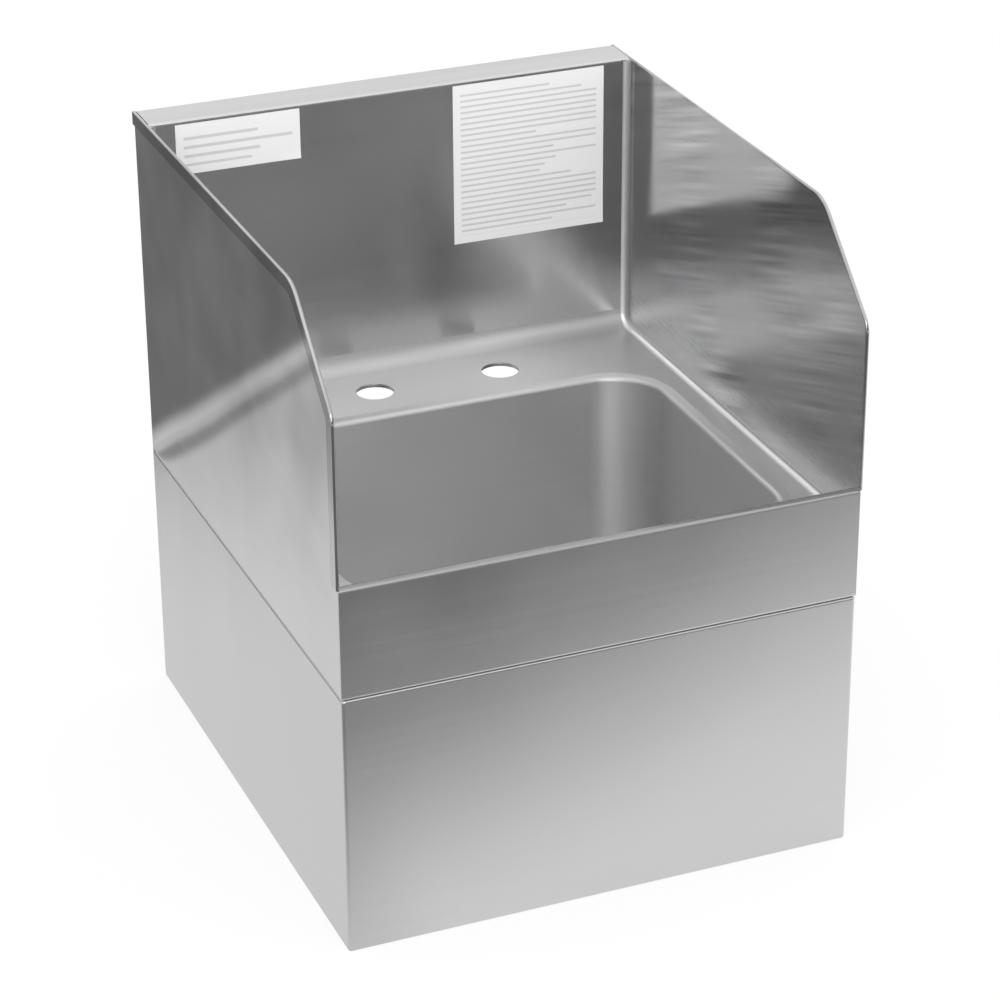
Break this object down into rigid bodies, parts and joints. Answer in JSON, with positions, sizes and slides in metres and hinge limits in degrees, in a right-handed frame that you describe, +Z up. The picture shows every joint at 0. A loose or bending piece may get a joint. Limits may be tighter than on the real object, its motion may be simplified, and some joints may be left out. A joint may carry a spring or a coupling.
{
  "type": "wall mount hand sink",
  "caption": "Wall-hung steel hand sink with a drawn round-cornered bowl, tall side splashes, a backsplash, a deep skirt, faucet holes and a drain with a lift-out strainer basket.",
  "frame": {"origin": "middle of the wall hanger's two screw holes, on the wall plane", "axes": "+Z up, +Y into the wall, so the sink stands out along -Y, +X to the right of someone facing the sink"},
  "size_m": [0.384, 0.4223, 0.4699],
  "materials": {
    "panel_steel": "satin brushed stainless steel",
    "apron_steel": "satin brushed stainless steel",
    "backsplash_steel": "satin brushed stainless steel",
    "deck_steel": "satin polished stainless steel",
    "bowl_steel": "drawn and satin polished stainless steel",
    "bracket_steel": "plain zinc-coated steel",
    "screw_steel": "plain stainless fasteners",
    "drain_steel": "polished stainless steel",
    "drain_chrome": "chrome plate",
    "drain_brass": "raw cast brass",
    "black_rubber": "moulded rubber",
    "sealant": "soft sealing ring",
    "white_paper": "white fibre paper"
  },
  "bodies": {
    "sink": {"bowl": "bowl_steel", "deck": "deck_steel", "faucet_plate": "bracket_steel", "backsplash": "backsplash_steel", "left_side_panel": "panel_steel", "right_side_panel": "panel_steel", "front_apron": "apron_steel", "skirt": "apron_steel", "wall_hanger": "bracket_steel", "hanger_channel": "bracket_steel", "skirt_weld_nuts": "screw_steel", "skirt_screws": "screw_steel", "drain_body": "drain_steel", "drain_seal": "sealant", "drain_gasket": "black_rubber", "drain_friction_washer": "white_paper", "drain_lock_nut": "drain_brass", "tailpiece_washer": "sealant", "tailpiece": "drain_chrome", "coupling_nut": "drain_brass"},
    "basket": {"strainer_basket": "drain_steel"},
    "post": {"basket_post": "drain_chrome", "post_clip": "screw_steel", "basket_stopper": "black_rubber"}
  },
  "joints": [
    {"name": "basket_lift", "type": "slide", "parent": "sink", "child": "basket", "axis": [0, 0, 1], "range_m": [0, 0.06]},
    {"name": "post_lift", "type": "slide", "parent": "basket", "child": "post", "axis": [0, 0, 1], "range_m": [0, 0.009]}
  ]
}
